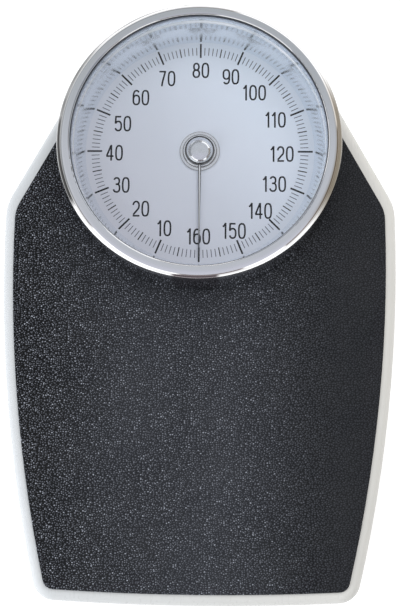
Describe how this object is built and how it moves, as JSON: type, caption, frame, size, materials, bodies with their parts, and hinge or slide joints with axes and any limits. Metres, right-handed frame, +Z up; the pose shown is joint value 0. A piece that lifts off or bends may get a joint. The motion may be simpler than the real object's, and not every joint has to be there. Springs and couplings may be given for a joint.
{
  "type": "mechanical bathroom scale",
  "caption": "Mechanical bathroom scale with a waisted white platform, black pebbled mat and a raised round dial in a chrome bezel, over a lever, rack and pinion movement.",
  "frame": {"origin": "on the floor under the middle of the bounding box", "axes": "+X to the user's right, +Y from the user's end towards the dial, +Z up"},
  "size_m": [0.3046, 0.4579, 0.089],
  "materials": {
    "white_paint": "satin",
    "mat_rubber": "pebbled",
    "foot_rubber": "matte",
    "gasket_rubber": "matte",
    "chrome": "polished",
    "bright_metal": "polished",
    "lens_clear": "clear",
    "dial_paint": "satin",
    "needle_metal": "satin",
    "black_plastic": "satin",
    "grey_paint": "satin",
    "brass": "turned",
    "zinc_steel": "zinc plated"
  },
  "bodies": {
    "base": {"base_tray": "white_paint", "rubber_feet": "foot_rubber", "fulcrum_brackets": "zinc_steel", "bracket_rivets": "zinc_steel", "dial_pedestal": "zinc_steel", "pedestal_screws": "zinc_steel", "dial_housing": "grey_paint", "housing_screws": "zinc_steel", "bezel_ring": "chrome", "dial_surround": "bright_metal", "lens_gasket": "gasket_rubber", "dial_lens": "lens_clear", "lens_seal": "foot_rubber", "dial_plate": "dial_paint", "movement_plate": "zinc_steel", "movement_screws": "zinc_steel", "bearing_bridge": "zinc_steel", "shaft_bushings": "brass", "rack_guide": "zinc_steel", "hair_spring": "brass", "crank_bracket": "zinc_steel", "crank_pin": "zinc_steel", "zero_lever_bracket": "zinc_steel", "zero_lever_pin": "zinc_steel", "main_spring": "zinc_steel", "retaining_springs": "zinc_steel"},
    "platform": {"platform_cover": "white_paint", "tread_mat": "mat_rubber", "load_saddles": "zinc_steel", "spring_studs": "zinc_steel"},
    "long_levers": {"long_lever_left": "zinc_steel", "long_lever_right": "zinc_steel", "long_lever_pins": "zinc_steel", "lever_tie": "zinc_steel"},
    "short_lever_left": {"short_lever_left": "zinc_steel", "short_lever_pins_left": "zinc_steel"},
    "short_lever_right": {"short_lever_right": "zinc_steel", "short_lever_pins_right": "zinc_steel"},
    "lever_links": {"lever_links": "zinc_steel"},
    "calibration_plate": {"calibration_plate": "zinc_steel"},
    "bell_crank": {"bell_crank": "zinc_steel"},
    "rack": {"rack": "brass"},
    "pointer": {"pinion_shaft": "brass", "hub_ring": "chrome", "pointer_needle": "needle_metal", "hub_cap": "chrome"},
    "zero_lever": {"zero_lever": "zinc_steel"},
    "zero_knob": {"zero_knob": "black_plastic", "zero_screw": "zinc_steel"}
  },
  "joints": [
    {"name": "pointer_turn", "type": "hinge", "parent": "base", "child": "pointer", "pos_m": [0, 0.1147, 0.055], "axis": [0, 0, -1], "range_deg": [0, 360]},
    {"name": "platform_press", "type": "slide", "parent": "base", "child": "platform", "axis": [0, 0, -1], "range_m": [0, 0.0011], "stiffness_N_per_m": 1400000, "springref_m": -0.00002, "deforming": ["retaining_springs"]},
    {"name": "long_lever_rock", "type": "hinge", "parent": "base", "child": "long_levers", "pos_m": [0, -0.19, 0.027], "axis": [-1, 0, 0], "range_deg": [0, 2.1]},
    {"name": "short_lever_left_rock", "type": "hinge", "parent": "base", "child": "short_lever_left", "pos_m": [-0.082, 0.12, 0.027], "axis": [1, 0, 0], "range_deg": [0, 2.1]},
    {"name": "short_lever_right_rock", "type": "hinge", "parent": "base", "child": "short_lever_right", "pos_m": [0.082, 0.12, 0.027], "axis": [1, 0, 0], "range_deg": [0, 2.1]},
    {"name": "link_drop", "type": "slide", "parent": "base", "child": "lever_links", "axis": [0, 0, -1], "range_m": [0, 0.00568]},
    {"name": "calibration_drop", "type": "slide", "parent": "base", "child": "calibration_plate", "axis": [0, 0, -1], "range_m": [0, 0.01247], "deforming": ["main_spring"]},
    {"name": "bell_crank_rock", "type": "hinge", "parent": "base", "child": "bell_crank", "pos_m": [-0.0063, 0.12961, 0.01577], "axis": [-1, 0, 0], "range_deg": [0, 34]},
    {"name": "rack_slide", "type": "slide", "parent": "base", "child": "rack", "axis": [0, 1, 0], "range_m": [0, 0.01571]},
    {"name": "zero_knob_turn", "type": "hinge", "parent": "base", "child": "zero_knob", "pos_m": [0, 0.2125, 0.01], "axis": [0, 0, 1], "range_deg": [-450, 450]},
    {"name": "zero_lever_rock", "type": "hinge", "parent": "base", "child": "zero_lever", "pos_m": [0, 0.1687, 0.033], "axis": [1, 0, 0], "range_deg": [-1.7, 1.7]}
  ],
  "couplings": [
    {"joint": "long_lever_rock", "follows": "platform_press", "rad_per_m": 33.333},
    {"joint": "short_lever_left_rock", "follows": "platform_press", "rad_per_m": 33.333},
    {"joint": "short_lever_right_rock", "follows": "platform_press", "rad_per_m": 33.333},
    {"joint": "link_drop", "follows": "platform_press", "ratio": 5.1667},
    {"joint": "calibration_drop", "follows": "platform_press", "ratio": 11.333},
    {"joint": "bell_crank_rock", "follows": "platform_press", "rad_per_m": 539.47},
    {"joint": "rack_slide", "follows": "platform_press", "ratio": 14.28},
    {"joint": "pointer_turn", "follows": "platform_press", "rad_per_m": 5712},
    {"joint": "zero_lever_rock", "follows": "zero_knob_turn", "ratio": 0.0036337}
  ]
}
